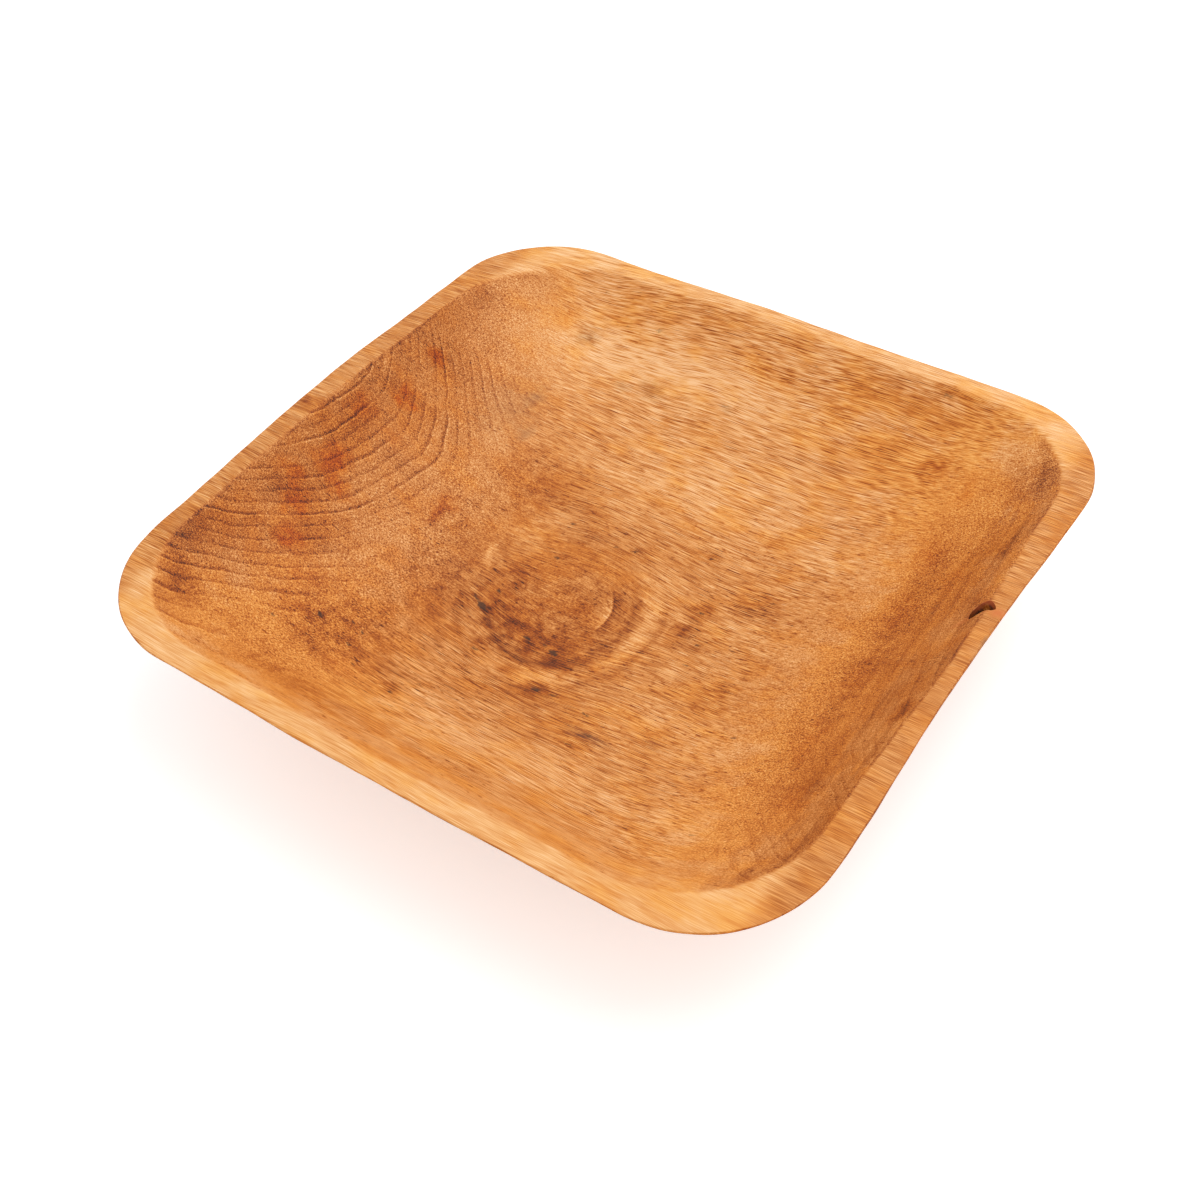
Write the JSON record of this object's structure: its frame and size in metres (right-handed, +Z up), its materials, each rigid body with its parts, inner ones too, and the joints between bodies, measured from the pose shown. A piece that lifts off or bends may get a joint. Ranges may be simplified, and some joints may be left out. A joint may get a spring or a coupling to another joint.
{
  "type": "nesting bowl",
  "caption": "Shallow square bowl with rounded corners, hand-carved from a block of oiled hardwood, with a flat foot and a dead knot in its rim, for serving, display or nesting.",
  "frame": {"origin": "middle of the flat foot, on the surface that the bowl stands on", "axes": "+Z up, +X along the grain of the wood, towards the side of the rim that holds the knot"},
  "size_m": [0.3105, 0.3057, 0.0712],
  "materials": {
    "carved_timber": "hand-sanded hardwood with a satin oil finish",
    "dead_knot": "dark, dry knot wood and bark, matt"
  },
  "bodies": {
    "root": {"bowl_body": "carved_timber", "rim_knot": "dead_knot"}
  },
  "joints": []
}
